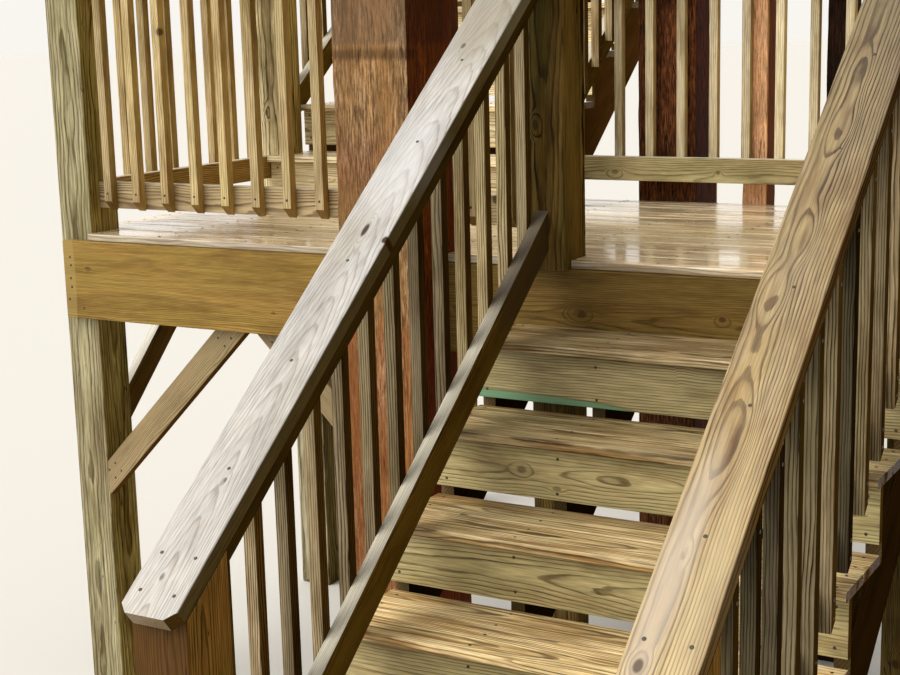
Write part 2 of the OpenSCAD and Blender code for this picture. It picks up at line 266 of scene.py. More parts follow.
@dataclass
class Stick:
    """One piece of lumber: its mesh and its own axes, along the grain, across its width and through it."""

    mesh: bmesh.types.BMesh
    along: Vector
    wide: Vector
    thin: Vector
    low: Vector = field(default_factory=Vector)
    high: Vector = field(default_factory=Vector)
    NEAR = 0.4 * MM
    MARGIN = 12 * MM

    def __post_init__(self) -> None:
        """Measures the piece along its own axes."""
        spots = [self.local(v.co) for v in self.mesh.verts]
        self.low = Vector(min(s[i] for s in spots) for i in range(3))
        self.high = Vector(max(s[i] for s in spots) for i in range(3))

    @property
    def size(self) -> Vector:
        """The piece's length, width and thickness."""
        return self.high - self.low

    @property
    def middle(self) -> Vector:
        """The piece's middle on its own axes."""
        return (self.high + self.low) / 2

    def local(self, spot: Vector) -> Vector:
        """A point of the frame on the piece's own axes."""
        return Vector((spot.dot(self.along), spot.dot(self.wide), spot.dot(self.thin)))

    def place(self, spot: Vector) -> Vector:
        """A point on the piece's own axes in the frame."""
        return self.along * spot.x + self.wide * spot.y + self.thin * spot.z

    def turn(self, thin: Vector) -> None:
        """Turns the axes about the grain until the thickness runs this way."""
        self.thin, self.wide = thin, thin.cross(self.along)
        self.__post_init__()

    def nail_line(self, side: float) -> float:
        """How far from the middle line to nail, in metres: as far as side says, but clear of the edges."""
        return min(side * MM, self.size.y / 2 - self.MARGIN)

    def surface(self, face: Vector, along: float, across: float) -> Vector:
        """Finds a point on one long face.

        Args:
            face: the face's outward direction.
            along: metres from the low end, or from the high end when negative.
            across: metres from the face's middle line.

        Returns:
            The point in the frame.
        """
        side = face.cross(self.along)
        reach = [v.co.dot(side) for v in self.mesh.verts]
        front = max(v.co.dot(face) for v in self.mesh.verts)
        run = self.low.x + along if along >= 0 else self.high.x + along
        return self.along * run + side * ((min(reach) + max(reach)) / 2 + across) + face * front

    def ease(self, radius: float, segments: int) -> None:
        """Rounds the four arrises that run along the grain.

        Args:
            radius: how far the rounding goes in, in metres.
            segments: facets on each arris.
        """
        edges = []
        for edge in self.mesh.edges:
            ends = [self.local(v.co) for v in edge.verts]
            corners = all(min(abs(e[i] - self.low[i]), abs(e[i] - self.high[i])) < self.NEAR
                for e in ends for i in (1, 2))
            run = (edge.verts[1].co - edge.verts[0].co).normalized()
            if corners and abs(run.dot(self.along)) > 0.999:
                edges.append(edge)
        bmesh.ops.bevel(self.mesh, geom=edges, offset=radius, offset_type="OFFSET", segments=segments,
            profile=0.5, affect="EDGES", clamp_overlap=True)

    def slice(self, step: float) -> None:
        """Cuts the mesh square across the grain at even steps, so that it can bend."""
        count = int(self.size.x / step)
        for i in range(1, count):
            spot = self.low.x + self.size.x * i / count
            whole = self.mesh.verts[:] + self.mesh.edges[:] + self.mesh.faces[:]
            bmesh.ops.bisect_plane(self.mesh, geom=whole, dist=1e-6, plane_co=self.along * spot,
                plane_no=self.along)

    def crook(self, amount: float, draw: random.Random) -> None:
        """Bends the piece as sawn lumber bends when it dries.

        Args:
            amount: the largest sideways move, in metres.
            draw: the seeded generator.
        """
        shift = draw.uniform(0, 500)
        for vertex in self.mesh.verts:
            run = vertex.co.dot(self.along) * 1.1 + shift
            vertex.co += self.wide * (amount * noise.noise(Vector((run, 3.7, 1.2))))
            vertex.co += self.thin * (amount * 0.6 * noise.noise(Vector((run, 9.1, 4.4))))


def sticks_of(node: str) -> list[Stick]:
    """Reads a CAD node and parts it into its separate pieces of lumber.

    Args:
        node: the CAD node's name.

    Returns:
        The pieces, in order of their places.
    """
    whole = bmesh.new()
    whole.from_mesh(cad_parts[node].data)
    bmesh.ops.remove_doubles(whole, verts=whole.verts, dist=1e-5)
    bmesh.ops.dissolve_limit(whole, angle_limit=math.radians(0.4), verts=whole.verts, edges=whole.edges)
    whole.faces.index_update()
    whole.verts.index_update()
    seen: set[int] = set()
    found = []
    for first in whole.faces:
        if first.index in seen:
            continue
        seen.add(first.index)
        group, stack = [first], [first]
        while stack:
            for face in [face for edge in stack.pop().edges for face in edge.link_faces]:
                if face.index not in seen:
                    seen.add(face.index)
                    group.append(face)
                    stack.append(face)
        found.append(stick_from(group))
    whole.free()
    return sorted(found, key=lambda s: tuple(round(c, 3) for c in s.place(s.middle)))


def stick_from(faces: Sequence[bmesh.types.BMFace]) -> Stick:
    """Copies one solid's faces into a piece of its own and finds its axes.

    Args:
        faces: the faces of one closed solid.

    Returns:
        The piece, with its longest edge along the grain and its largest long face square to its thickness.
    """
    mesh = bmesh.new()
    verts = {}
    for face in faces:
        for vertex in face.verts:
            if vertex.index not in verts:
                verts[vertex.index] = mesh.verts.new(vertex.co)
        mesh.faces.new([verts[v.index] for v in face.verts])
    mesh.normal_update()
    longest = max(mesh.edges, key=lambda e: round(e.calc_length(), 5))
    along = (longest.verts[1].co - longest.verts[0].co).normalized()
    lean = Vector((1, 2, 4))
    if along.dot(lean) < 0:
        along = -along
    sides = [f for f in mesh.faces if abs(f.normal.dot(along)) < 0.02]
    thin = max(sides, key=lambda f: (round(f.calc_area(), 6), f.normal.dot(lean))).normal.copy()
    return Stick(mesh, along, thin.cross(along).normalized(), thin)


@dataclass(frozen=True)
class Dressing:
    """How a node's pieces are cut, eased and bent: radius and crook in millimetres, step in metres."""

    sawing: Sawing
    radius: float
    segments: int
    crook: float
    step: float = 0.3
    planks: Mapping[int, Plank] = field(default_factory=dict)
    finish: str = ""
    lift: float = 0.0
    thin: Vector | None = None


class Joined:
    """Many small shapes joined into one mesh, which rides on the root body."""

    def __init__(self, name: str) -> None:
        """Starts an empty piece with this name."""
        self.name = name
        self.verts: list[Vector] = []
        self.faces: list[list[int]] = []

    def build(self, finish: bpy.types.Material) -> bpy.types.Object:
        """Makes the Blender object.

        Args:
            finish: the material of the whole piece.

        Returns:
            The object, riding on the root body.
        """
        mesh = bpy.data.meshes.new(self.name)
        mesh.from_pydata(self.verts, [], self.faces)
        mesh.materials.append(finish)
        LOG.info("%s: %d faces in %s", self.name, len(self.faces), finish.name)
        made = linked(self.name, mesh)
        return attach(made, "root")


class Lumber(Joined):
    """The dressed pieces of a CAD node, joined to stand for the node."""

    def __init__(self, name: str) -> None:
        """Starts an empty piece with this name."""
        super().__init__(name)
        self.grain: list[float] = []
        self.board: list[float] = []
        self.tone: list[float] = []

    def take(self, stick: Stick, look: Plank) -> None:
        """Adds one piece of lumber with its place in its log.

        Args:
            stick: the dressed piece.
            look: where its pith lies, and its tone and tint.
        """
        first, cut = len(self.verts), look.cut
        low, high = CAD_BOX
        for i, vertex in enumerate(stick.mesh.verts):
            vertex.index = i
            spot = stick.local(vertex.co) - stick.middle
            self.grain += [spot.x + cut.start, spot.y - cut.wide + cut.wide_drift * spot.x,
                spot.z - cut.thin + cut.thin_drift * spot.x]
            self.tone.append(look.tone + look.fall * spot.x)
            self.verts.append(Vector(min(max(c, a), b) for c, a, b in zip(vertex.co, low, high)))
        stick.mesh.normal_update()
        for face in stick.mesh.faces:
            self.faces.append([first + v.index for v in face.verts])
            self.board += [0.0, look.tint, 1.0 if abs(face.normal.dot(stick.along)) > 0.45 else 0.0]

    def build(self, finish: bpy.types.Material) -> bpy.types.Object:
        """Makes the Blender object with its wood attributes.

        Args:
            finish: the material of the whole piece.

        Returns:
            The object, shaded smooth between its sharp edges.
        """
        made = super().build(finish)
        mesh = made.data
        mesh.attributes.new("grain", "FLOAT_VECTOR", "POINT").data.foreach_set("vector", self.grain)
        mesh.attributes.new("board", "FLOAT_VECTOR", "FACE").data.foreach_set("vector", self.board)
        mesh.attributes.new("tone", "FLOAT", "POINT").data.foreach_set("value", self.tone)
        mesh.shade_smooth()
        mesh.set_sharp_from_angle(angle=math.radians(40))
        made.modifiers.new("face_weighted_normals", "WEIGHTED_NORMAL").keep_sharp = True
        return made


@dataclass(frozen=True)
class Finish:
    """A finish that is named for the real material."""

    name: str

    def material(self) -> bpy.types.Material:
        """Builds the procedural material."""
        made = bpy.data.materials.new(self.name)
        made.use_nodes = True
        recipe = Recipe(made.node_tree)
        recipe.add("OutputMaterial", (self.shader(recipe),))
        return made

    def shader(self, recipe: Recipe) -> Node:
        """Writes the finish's own nodes, and is given by each kind of finish."""
        raise NotImplementedError

    @staticmethod
    def stained(recipe: Recipe, colour: Source, planks: Sequence[Plank]) -> Source:
        """Lays the stains of the known pieces over a finish.

        Args:
            recipe: the finish's recipe.
            colour: the colour without stains.
            planks: the known pieces.

        Returns:
            The stained colour.
        """
        for plank in planks:
            for stain in plank.stains:
                far = plank.reach(recipe, stain)[1]
                share = recipe.add("MapRange", (far, 1.0, stain.core, 0.0, stain.share), "SMOOTHSTEP")
                colour = recipe.add("Mix", (share, colour, stain.colour))
        return colour


@dataclass(frozen=True)
class TreatedPine(Finish):
    """Pressure-treated yellow pine, sawn and planed, weathered outdoors and damp.

    To the eye: soft light earlywood between hard dark latewood lines, an olive cast from the preservative,
    a few dark oval knots that the rings bend round, pale upward faces that are partly sun-bleaching and
    partly a painted sky sheen, darker and browner faces turned from the open that are partly weathering
    and partly painted shade, and damp patches with a soft sheen. A ring's width and the pith's wander are
    in millimetres, and the other numbers are shares.
    """

    early: str
    late: str
    cast: str
    damp: str = "#9c8560"
    knot: str = "#38220f"
    # The colour of upward faces: partly sun-bleaching, partly a painted sheen of the sky on wet wood.
    bleached: str = "#cfc9ba"
    # The colour multiplied into faces turned from the open: partly weathering, partly painted shade.
    shelter_and_shade: str = "#94805c"
    end: str = "#c0b49c"
    dirt: str = "#b08a58"
    open_check: str = "#120b05"
    ring: float = 7.0
    line: float = 0.68
    contrast: float = 0.8
    cast_share: float = 0.5
    damp_share: float = 0.35
    top_bleach_and_sheen: float = 0.0
    spread: float = 0.16
    knots: float = 0.1
    wander: float = 14.0
    dry: float = 0.72
    wet: float = 0.42
    film: float = 0.0
    gloss: float = 0.25
    relief: float = 0.3
    streak: float = 0.2
    stripe: float = 0.0
    checks: float = 0.0
    planks: tuple[Plank, ...] = ()

    def shader(self, recipe: Recipe) -> Node:
        """Mixes rings, fibres, knots, cut ends, stains and checks, and lays the film of rain over them."""
        add, grain = recipe.add, recipe.grain
        place, knot, swell = self._known_knots(recipe, *self._knots(recipe))
        ring = self._rings(recipe, place, swell)
        # Fibres are about 1 mm wide and 50 mm long, drawn wide enough to show.
        fibre = add("TexNoise", (add("VectorMath", (grain, (11, 270, 270)), "MULTIPLY"), 1.0, 3.0))
        patch = add("TexNoise", (add("VectorMath", (grain, (2.6, 11, 11)), "MULTIPLY"), 1.0, 5.0, 0.62))
        wood = self._colour(recipe, ring, add("SeparateColor", (patch.outputs["Color"],)).outputs)
        # Faces turned from the open left and front are darkened: partly weathering, partly painted shade.
        shaded = add("Mix", (recipe.shelter_and_shade, wood, self.shelter_and_shade), "MULTIPLY")
        shade = add("MapRange", (recipe.tone, 0.0, 1.0, 1 - self.spread, 1 + self.spread), clamp=False)
        streak = add("MapRange", (fibre, 0.3, 0.7, 1 - self.streak, 1 + self.streak))
        toned = add("VectorMath", (shaded, add("Math", (shade, streak), "MULTIPLY")), "SCALE")
        cut = add("Mix", (recipe.board[2], toned, self.end), "MULTIPLY")
        marked = self.stained(recipe, cut, self.planks)
        colour = add("Mix", (knot, marked, self.knot))
        if self.checks:
            colour = self._checked(recipe, colour)
        height = add("Math", (ring, 0.5, fibre), "MULTIPLY_ADD")
        shader = add("BsdfPrincipled", {
            "Base Color": colour, "Roughness": add("MapRange", (patch, 0.4, 0.6, self.wet, self.dry)),
            "Normal": add("Bump", {"Height": height, "Strength": self.relief, "Distance": 0.6 * MM}),
            "Specular IOR Level": add("MapRange", (recipe.shelter_and_shade, 0.0, 1.0, self.gloss, 0.0)),
            "IOR": 1.5, "Coat Roughness": 0.1, "Coat IOR": 1.33})
        if self.film:
            # Rain stands in films about 0.3 m long and 40 mm wide along the boards.
            pool = add("TexNoise", (add("VectorMath", (grain, (3.2, 24, 24)), "MULTIPLY"), 1.0, 3.0))
            film = add("MapRange", (pool, 0.36, 0.5, 0.0, self.film))
            recipe.tree.links.new(film.outputs[0], shader.inputs["Coat Weight"])
        return shader

    def _knots(self, recipe: Recipe) -> tuple[Node, Node, Node]:
        """Bends the pith as a stem wanders, over half a metre, and sets branches about 20 mm across on it.

        Args:
            recipe: the finish's recipe.

        Returns:
            The bent place in the log, the knots' mask, and how far they swell the rings round them.
        """
        add, reach = recipe.add, 2 * self.wander * MM
        slow = add("VectorMath", (recipe.grain, (2.1, 3.0, 3.0)), "MULTIPLY")
        drift = add("TexNoise", (slow, 1.0, 2.0)).outputs["Color"]
        middle = add("VectorMath", (drift, (0.5, 0.5, 0.5)), "SUBTRACT")
        place = add("VectorMath", (middle, (0, reach, reach), recipe.grain), "MULTIPLY_ADD")
        along, wide, thin = add("SeparateXYZ", (place,)).outputs
        turn = add("Math", (thin, wide), "ARCTAN2")
        spaced = add("Math", (along, 5.0), "MULTIPLY")
        cells = add("CombineXYZ", (spaced, add("Math", (turn, 0.9), "MULTIPLY")))
        cell = add("TexVoronoi", {"Vector": cells, "Scale": 1.0, "Randomness": 0.9}, voronoi_dimensions="2D")
        lot = add("SeparateColor", (cell.outputs["Color"],))
        absent = add("Math", (lot, self.knots), "GREATER_THAN")
        far = add("Math", (absent, 5.0, cell), "MULTIPLY_ADD")
        return (place, add("MapRange", (far, 0.085, 0.04, 0.0, 0.8), "SMOOTHSTEP"),
            add("MapRange", (far, 0.36, 0.03, 0.0, 10 * MM), "SMOOTHERSTEP"))

    def _known_knots(self, recipe: Recipe, place: Node, core: Node, swell: Node) -> tuple[Node, Node, Node]:
        """Adds the knots that the photograph shows, which part the grain on both sides.

        Args:
            recipe: the finish's recipe.
            place: the bent place in the log.
            core: the mask of the other knots.
            swell: how far the other knots swell the rings.

        Returns:
            The place, the mask and the swell with these knots added.
        """
        add = recipe.add
        for plank in self.planks:
            for knot in plank.knots:
                away, far = plank.reach(recipe, knot)
                near = add("MapRange", (far, 3.2, 0.5), "SMOOTHERSTEP")
                sideways = add("VectorMath", (away, (0, -0.8, 0)), "MULTIPLY")
                push = add("VectorMath", (sideways, near), "SCALE")
                place = add("VectorMath", (place, push), "ADD")
                swell = add("Math", (near, knot.swell * MM, swell), "MULTIPLY_ADD")
                if knot.dark:
                    mask = add("MapRange", (far, 1.15, 0.6, 0.0, knot.dark), "SMOOTHSTEP")
                    core = add("Math", (core, mask), "MAXIMUM")
        return place, core, swell

    def _rings(self, recipe: Recipe, place: Node, swell: Node) -> Node:
        """Draws the year rings: slow light growth, then a sharp dark line.

        Args:
            recipe: the finish's recipe.
            place: the bent place in the log.
            swell: how far a knot pushes the rings outwards.

        Returns:
            The latewood mask.
        """
        add = recipe.add
        flat = add("VectorMath", (place, (0, 1, 1)), "MULTIPLY")
        pushed = add("Math", (swell, add("VectorMath", (flat,), "LENGTH")), "SUBTRACT")
        near = add("TexNoise", (add("VectorMath", (place, (7, 40, 40)), "MULTIPLY"), 1.0, 3.0))
        ragged = add("Math", (near, 0.0055, pushed), "MULTIPLY_ADD")
        years = add("Math", (ragged, -1 / (self.ring * MM)), "MULTIPLY")
        growth = add("FloatCurve", {"Value": add("Math", (years,), "FRACT")})
        curve = growth.mapping.curves[0]
        for point, share in zip(curve.points, (0.0, 1.0)):
            point.location = (share, 0.1)
        for spot in ((0.08, 0.02), (self.line - 0.24, 0.1), (self.line, 0.5), (self.line + 0.12, 1.0),
                (0.95, 0.95)):
            curve.points.new(*spot)
        growth.mapping.update()
        return growth

    def _checked(self, recipe: Recipe, colour: Source) -> Node:
        """Opens a few drying checks, hair-thin dark lines up to half a metre long.

        Args:
            recipe: the finish's recipe.
            colour: the colour without checks.

        Returns:
            The colour with checks.
        """
        add = recipe.add
        split = add("TexNoise", (add("VectorMath", (recipe.grain, (1.8, 34, 34)), "MULTIPLY"), 1.0, 2.0))
        close = add("Math", (add("Math", (split, 0.5), "SUBTRACT"),), "ABSOLUTE")
        line = add("MapRange", (close, 0.009, 0.002, 0.0, self.checks))
        zone = add("SeparateColor", (split.outputs["Color"],)).outputs[1]
        opened = add("Math", (line, add("MapRange", (zone, 0.5, 0.56))), "MULTIPLY")
        return add("Mix", (opened, colour, self.open_check))

    def _colour(self, recipe: Recipe, ring: Node, slow: Sequence[NodeSocket]) -> Node:
        """Mixes the wood's colours.

        Args:
            recipe: the finish's recipe.
            ring: the latewood mask.
            slow: three slow patterns for the cast, the damp and the contrast.

        Returns:
            The colour of an open face.
        """
        add = recipe.add
        lean = add("Math", (recipe.board[1], 0.4, -0.15), "MULTIPLY_ADD")
        olive = add("MapRange", (slow[0], 0.38, 0.62, 0.0, self.cast_share))
        leaning = add("Math", (olive, lean), "ADD", use_clamp=True)
        ground = add("Mix", (leaning, self.early, self.cast))
        strong = add("MapRange", (slow[2], 0.35, 0.65, 0.5 * self.contrast, self.contrast))
        line = add("Math", (ring, strong), "MULTIPLY")
        colour = add("Mix", (line, ground, self.late))
        soaked = add("MapRange", (slow[1], 0.46, 0.64, 0.0, self.damp_share))
        colour = add("Mix", (soaked, colour, self.damp), "MULTIPLY")
        if self.stripe:
            # Rain washes resin and dirt along the grain in stripes about 10 mm wide and 0.3 m long.
            wash = add("VectorMath", (recipe.grain, (3.0, 95, 95)), "MULTIPLY")
            stripe = add("MapRange", (add("TexNoise", (wash, 1.0, 3.0)), 0.46, 0.6, 0.0, self.stripe))
            colour = add("Mix", (stripe, colour, self.dirt), "MULTIPLY")
        # Upward faces turn pale: partly sun-bleaching and partly a painted sheen of the sky on the wet tops.
        if self.top_bleach_and_sheen:
            up = add("SeparateXYZ", (add("NewGeometry").outputs["Normal"],)).outputs[2]
            sunned_and_sheen = add("MapRange", (up, 0.35, 0.75, 0.0, self.top_bleach_and_sheen))
            lineless = add("Math", (line, -0.55, 1.0), "MULTIPLY_ADD")
            share = add("Math", (sunned_and_sheen, lineless), "MULTIPLY")
            colour = add("Mix", (share, colour, self.bleached))
        return colour


@dataclass(frozen=True)
class RoughTimber(Finish):
    """Rough-sawn softwood timber straight from a band mill, stained by weather.

    To the eye: short torn fibres, faint saw lines across the grain, long dark drying checks, a mottled
    red-brown that turns orange where the rain has not reached, and no gloss.
    """

    light: str
    dark: str
    worn: str
    # The colour multiplied into faces turned from the open: partly weathering, partly painted shade.
    shelter_and_shade: str = "#b07f60"
    check: str = "#150a05"
    check_share: float = 0.5
    dry: float = 0.9
    planks: tuple[Plank, ...] = ()

    def shader(self, recipe: Recipe) -> Node:
        """Mixes torn fibres, saw lines, checks and the weather's slow zones."""
        add, grain, tint = recipe.add, recipe.grain, recipe.board[1]
        # Torn fibres are about 3 mm wide and 40 mm long.
        torn = add("TexNoise", (add("VectorMath", (grain, (20, 190, 190)), "MULTIPLY"), 1.0, 5.0, 0.7))
        slow = add("TexNoise", (add("VectorMath", (grain, (1.6, 7, 7)), "MULTIPLY"), 1.0, 5.0, 0.65))
        zones = add("SeparateColor", (slow.outputs["Color"],)).outputs
        # The band saw leaves a line every 5 mm across the grain.
        wave = add("TexWave", (grain, 26.0, 14.0, 4.0, 2.5), wave_type="BANDS", bands_direction="X")
        saw = wave.outputs["Fac"]
        # Drying checks are up to 4 mm wide and half a metre long.
        split = add("TexNoise", {"Vector": add("VectorMath", (grain, (2.4, 62, 62)), "MULTIPLY"),
            "Scale": 1.0, "Detail": 2.0, "Distortion": 0.3})
        close = add("Math", (add("Math", (split, 0.5), "SUBTRACT"),), "ABSOLUTE")
        narrow = add("MapRange", (close, 0.014, 0.004))
        open_here = add("MapRange", (zones[2], 0.46, 0.56, 0.0, self.check_share))
        check = add("Math", (narrow, open_here), "MULTIPLY")
        mottle = add("MapRange", (torn, 0.34, 0.6))
        wood = add("Mix", (mottle, self.dark, self.light))
        reach = add("Math", (tint, -1.0), "ADD")
        zone = add("MapRange", (zones[0], 0.42, 0.6))
        share = add("Math", (zone, tint, reach), "MULTIPLY_ADD", use_clamp=True)
        weathered = add("Mix", (share, wood, self.worn))
        lined = add("MapRange", (saw, 0.0, 1.0, 0.94, 1.03))
        level = add("Math", (lined, recipe.tone), "MULTIPLY")
        grey = add("MapRange", (zones[1], 0.42, 0.6, 0.72, 1.2))
        blotched = add("Math", (level, grey), "MULTIPLY")
        fibred = add("MapRange", (torn, 0.34, 0.66, 0.45, 1.4))
        toned = add("VectorMath", (weathered, add("Math", (blotched, fibred), "MULTIPLY")), "SCALE")
        aged = self.stained(recipe, toned, self.planks)
        # Faces turned from the open left and front take a darker colour: partly weathering, partly painted
        # shade.
        shaded = add("Mix", (recipe.shelter_and_shade, aged, self.shelter_and_shade), "MULTIPLY")
        high = add("Math", (saw, 0.2, torn), "MULTIPLY_ADD")
        height = add("Math", (check, -2.5, high), "MULTIPLY_ADD")
        return add("BsdfPrincipled", {
            "Base Color": add("Mix", (check, shaded, self.check)), "Roughness": self.dry,
            "Normal": add("Bump", {"Height": height, "Strength": 0.6, "Distance": 1.6 * MM}),
            "IOR": 1.5, "Specular IOR Level": 0.15})


@dataclass(frozen=True)
class WeatheredZinc(Finish):
    """Hot-dip galvanised steel that rain has dulled, seen as small grey-brown nail heads."""

    name: str = "weathered_zinc"
    bright: str = "#6b655b"
    dull: str = "#2e2821"

    def shader(self, recipe: Recipe) -> Node:
        """Mottles the zinc with its flowers, which are about 4 mm across."""
        place = recipe.add("TexCoord").outputs["Object"]
        flower = recipe.add("TexNoise", (place, 250.0, 2.0))
        return recipe.add("BsdfPrincipled", {
            "Base Color": recipe.add("Mix", (flower, self.dull, self.bright)),
            "Roughness": recipe.add("MapRange", (flower, 0.3, 0.7, 0.45, 0.7)), "Metallic": 1.0})


class Nails(Joined):
    """Low domed nail heads, driven almost flush. Sizes are in millimetres."""

    RADIUS = 4.2
    SIDES = 10
    PROFILE = ((1.0, -0.6), (1.0, 0.25), (0.62, 0.75))

    def drive(self, spot: Vector, face: Vector) -> None:
        """Drives one nail.

        Args:
            spot: the point on the board's surface.
            face: the surface's outward direction.
        """
        turn = face.to_track_quat("Z", "Y")
        first = len(self.verts)
        for share, height in self.PROFILE:
            for i in range(self.SIDES):
                angle = math.tau * i / self.SIDES
                rim = Vector((math.cos(angle) * share * self.RADIUS, math.sin(angle) * share * self.RADIUS,
                    height))
                self.verts.append(spot + turn @ (rim * MM))
        top = first + (len(self.PROFILE) - 1) * self.SIDES
        for ring in range(first, top, self.SIDES):
            for i in range(self.SIDES):
                a, b = ring + i, ring + (i + 1) % self.SIDES
                self.faces.append([a, b, b + self.SIDES, a + self.SIDES])
        self.faces.append(list(range(top, top + self.SIDES)))
        self.faces.append(list(range(first + self.SIDES - 1, first - 1, -1)))

    def row(self, sticks: Sequence[Stick], face: Vector, along: Sequence[float],
            across: Sequence[float]) -> None:
        """Drives nails into the same places of several pieces.

        Args:
            sticks: the pieces.
            face: the outward direction of the face that is nailed.
            along: metres from the low end, or from the high end when negative.
            across: metres from the face's middle line.
        """
        for stick in sticks:
            for run in along:
                for side in across:
                    self.drive(stick.surface(face, run, side), face)


class Yard:
    """Keeps the finishes and dresses CAD nodes with them."""

    def __init__(self) -> None:
        """Mixes every finish once."""
        self.draw = random.Random(4127)
        self.zinc = WeatheredZinc().material()
        self.finishes = {f.name: f.material() for f in FINISHES}

    def dress(self, node: str, slot: str, dressing: Dressing) -> list[Stick]:
        """Cuts a CAD node's pieces anew and paints them.

        Args:
            node: the CAD node that the new piece stands for.
            slot: the record's material slot, which is also the finish's name.
            dressing: how the pieces are cut, eased and bent.

        Returns:
            The pieces, for nailing.
        """
        lumber = Lumber(f"{node}_wood")
        sticks = sticks_of(node)
        for i, stick in enumerate(sticks):
            if dressing.thin:
                stick.turn(dressing.thin)
            cut = Cut.drawn(dressing.sawing, stick.size, self.draw)
            drawn = Plank(cut, (), self.draw.random() + dressing.lift, self.draw.random())
            stick.ease(dressing.radius * MM, dressing.segments)
            stick.slice(dressing.step)
            stick.crook(dressing.crook * MM, self.draw)
            lumber.take(stick, dressing.planks.get(i, drawn))
        self.stand_in(lumber, node, slot, dressing.finish or slot)
        return sticks

    def stand_in(self, lumber: Lumber, node: str, slot: str, finish: str) -> None:
        """Builds a piece of lumber and puts it in its CAD node's place.

        Args:
            lumber: the dressed pieces.
            node: the CAD node that they stand for.
            slot: the record's material slot, not used.
            finish: the finish's name.
        """
        made = lumber.build(self.finishes[finish])
        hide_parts(node)


LEFT_CAP = Plank(Cut(-0.018, -0.08, 0.02, 0.055, 100.0), (
    Knot(-50, 1, 24, 8, 12, 1.0), Knot(-78, -66, 12, 9, 4, 1.0), Knot(-1024, 10, 9, 5, 3, 0.55),
    Knot(-781, -8, 7, 4, 2, 0.6), Knot(620, 24, 12, 7, 4, 0.7)), 0.5, 0.3, 0.0, (
    Stain(170, 0, 260, 90, "#c4c6cc", 0.35, 0.3), Stain(760, 0, 340, 120, "#80775e", 0.6, 0.3)))
RIGHT_CAP = Plank(Cut(0.028, -0.036, 0.004, 0.006, 100.0), (
    Knot(-1024, 36, 16, 10, 6, 0.8), Knot(-791, 24, 14, 6, 4, 0.1), Knot(-544, 10, 66, 15, 9, 0.16),
    Knot(-163, 34, 40, 14, 7, 0.0), Knot(-12, 12, 44, 12, 10, 0.14), Knot(340, 14, 52, 13, 10, 0.16),
    Knot(492, 15, 44, 10, 7, 0.14)), -0.95, 0.1, -0.8, (
    Stain(-860, 34, 420, 46, "#bcb0a0", 0.6, 0.3), Stain(-900, -34, 440, 44, "#c6b68e", 0.4, 0.3),
    Stain(-544, 10, 90, 9, "#6e4c2e", 0.5, 0.1), Stain(-20, 12, 56, 8, "#684828", 0.5, 0.1),
    Stain(344, 12, 70, 9, "#5e4228", 0.5, 0.1),
    Stain(-180, 36, 80, 12, "#7c5a38", 0.3, 0.1)))
# The tread boards get lighter going down, with painted shade darkening the upper treads under the landing,
# and the front board of a tread is the lighter one.
TREADS = {14 - i: Plank(Cut(wide, thin, wide_drift, thin_drift, 60.0 + 4 * i), (), tone, tint)
    for i, (wide, thin, wide_drift, thin_drift, tone, tint) in enumerate((
        (0.02, -0.06, 0.004, 0.004, -0.35, 0.2), (-0.02, -0.05, 0.004, 0.012, -0.25, 0.1),
        (0.02, -0.05, 0.004, 0.004, 0.1, 0.8), (0.03, -0.03, 0.01, 0.014, 0.2, 0.3),
        (-0.01, -0.04, 0.004, -0.016, 0.7, 0.2), (0.01, -0.035, 0.01, 0.02, 0.9, 0.1),
        (0.02, -0.05, 0.004, 0.01, 1.6, 0.2), (-0.02, -0.04, 0.01, 0.014, 1.9, 0.1)))}
# The top riser carries the green stain of the preservative along its upper edge.
RISERS = {
    6: Plank(Cut(0.19, 0.07, 0.002, 0.004, 100.0), (), -0.1, 0.0, 0.0, (
        Stain(-618, 70, 515, 29, "#34502a", 0.5, 0.94), Stain(-618, 72, 505, 26, "#6a9c7c", 0.72, 0.9))),
    5: Plank(Cut(0.0, 0.034, 0.004, -0.01, 110.0), (
        Knot(-336, -3, 15, 11, 7, 0.55), Knot(-235, 37, 14, 7, 3, 0.55), Knot(-23, -7, 80, 12, 9, 0.0)),
        1.0, 0.7),
    4: Plank(Cut(-0.004, 0.03, 0.002, 0.03, 120.0), (Knot(-16, 9, 16, 5, 2, 0.35),), 0.85, 0.6),
    3: Plank(Cut(0.05, 0.05, 0.004, 0.01, 130.0), (), 1.0, 0.5)}
# The front rim's second board, at the flight's head, is darker: partly damp and partly painted shade.
RIMS = {
    0: Plank(Cut(0.16, 0.06, 0.002, 0.002, 100.0), (
        Knot(-519, -40, 15, 9, 4, 0.45), Knot(250, 60, 9, 6, 3, 0.4)), 0.25, 0.5, 0.0, (
        Stain(-650, 0, 74, 400, "#a8935c", 0.4, 0.94),)),
    1: Plank(Cut(0.0, 0.05, 0.01, 0.02, 110.0), (
        Knot(-265, -12, 22, 14, 8, 0.3), Knot(161, -22, 12, 9, 5, 0.7)), -1.1, 0.1)}
HEAD_NEWEL = Plank(Cut(0.012, 0.066, 0.004, 0.012, 100.0), (
    Knot(745, -19, 18, 10, 8, 0.8), Knot(230, 22, 10, 7, 5, 0.7)), 0.5, 0.6)
